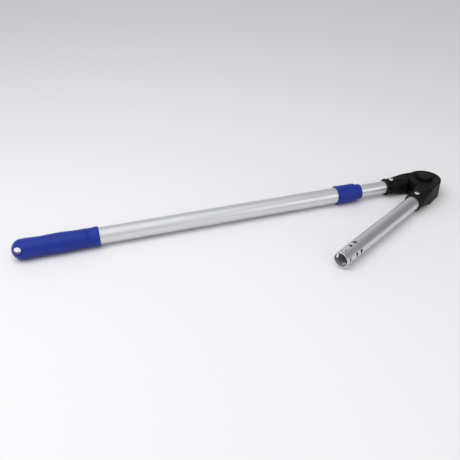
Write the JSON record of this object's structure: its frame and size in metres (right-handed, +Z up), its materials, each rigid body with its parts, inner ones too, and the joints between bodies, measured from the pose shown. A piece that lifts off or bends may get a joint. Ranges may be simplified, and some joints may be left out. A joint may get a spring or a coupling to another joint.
{
  "type": "boat hook",
  "caption": "Telescopic boat hook pole with blue grip and twist lock, and a push-button knuckle that folds an open tube arm for a hook head.",
  "frame": {"origin": "on the floor under the knuckle's pivot axis, in the flat foot the knuckle lies on", "axes": "+X along the pole, away from the handle; +Z up, along the pivot axis; the folded arm lies on the -Y side"},
  "size_m": [0.8505, 0.2339, 0.0424],
  "materials": {
    "blue_moulding": "satin",
    "blue_nut": "satin",
    "black_moulding": "fine textured",
    "black_button": "satin",
    "black_cover": "satin",
    "anodised_tube": "satin anodised",
    "rivet_alloy": "bright",
    "white_moulding": "plain",
    "grey_moulding": "plain",
    "gear_nylon": "plain",
    "foam": "closed-cell foam",
    "soft_seal": "plain",
    "stainless": "plain"
  },
  "bodies": {
    "handle": {"handle_grip": "blue_moulding", "outer_tube": "anodised_tube", "end_plug": "white_moulding", "foam_float": "foam", "lock_collet": "grey_moulding"},
    "clamp_ring": {"clamp_ring": "grey_moulding"},
    "lock_nut": {"lock_nut": "blue_nut", "wiper_ring": "soft_seal"},
    "slide_bush": {"slide_bush": "white_moulding"},
    "inner_pole": {"inner_tube": "anodised_tube", "stop_rivets": "rivet_alloy", "inner_plug": "white_moulding", "pole_knuckle": "black_moulding", "pole_rivets": "rivet_alloy"},
    "lock_gear": {"lock_gear": "gear_nylon", "gear_spring": "stainless"},
    "arm": {"arm_housing_top": "black_moulding", "arm_housing_bottom": "black_moulding", "housing_screws": "stainless", "pivot_bolt": "stainless", "pivot_washer": "stainless", "pivot_nut": "stainless", "bolt_cover": "black_cover", "arm_tube": "anodised_tube", "arm_rivets": "rivet_alloy"},
    "release_button": {"release_button": "black_button"}
  },
  "joints": [
    {"name": "clamp_ring_slide", "type": "slide", "parent": "handle", "child": "clamp_ring", "axis": [1, 0, 0], "range_m": [0, 0.00133]},
    {"name": "lock_nut_turn", "type": "hinge", "parent": "clamp_ring", "child": "lock_nut", "pos_m": [-0.165, 0.0182, 0.0189], "axis": [1, 0, 0], "range_deg": [0, 120]},
    {"name": "pole_extend", "type": "slide", "parent": "handle", "child": "slide_bush", "axis": [1, 0, 0], "range_m": [-0.052, 0.42]},
    {"name": "pole_turn", "type": "hinge", "parent": "slide_bush", "child": "inner_pole", "pos_m": [-0.165, 0.0182, 0.0189], "axis": [1, 0, 0], "range_deg": [-180, 180]},
    {"name": "arm_fold", "type": "hinge", "parent": "inner_pole", "child": "arm", "pos_m": [0, 0, 0.0189], "axis": [0, 0, 1], "range_deg": [-30, 150]},
    {"name": "gear_slide", "type": "slide", "parent": "inner_pole", "child": "lock_gear", "axis": [0, 0, -1], "range_m": [0, 0.0034], "stiffness_N_per_m": 1500, "springref_m": -0.002, "deforming": ["gear_spring"]},
    {"name": "button_press", "type": "slide", "parent": "arm", "child": "release_button", "axis": [0, 0, -1], "range_m": [0, 0.0034]}
  ],
  "couplings": [
    {"joint": "lock_nut_turn", "follows": "clamp_ring_slide", "rad_per_m": 1570.8},
    {"joint": "button_press", "follows": "gear_slide", "ratio": 1}
  ]
}
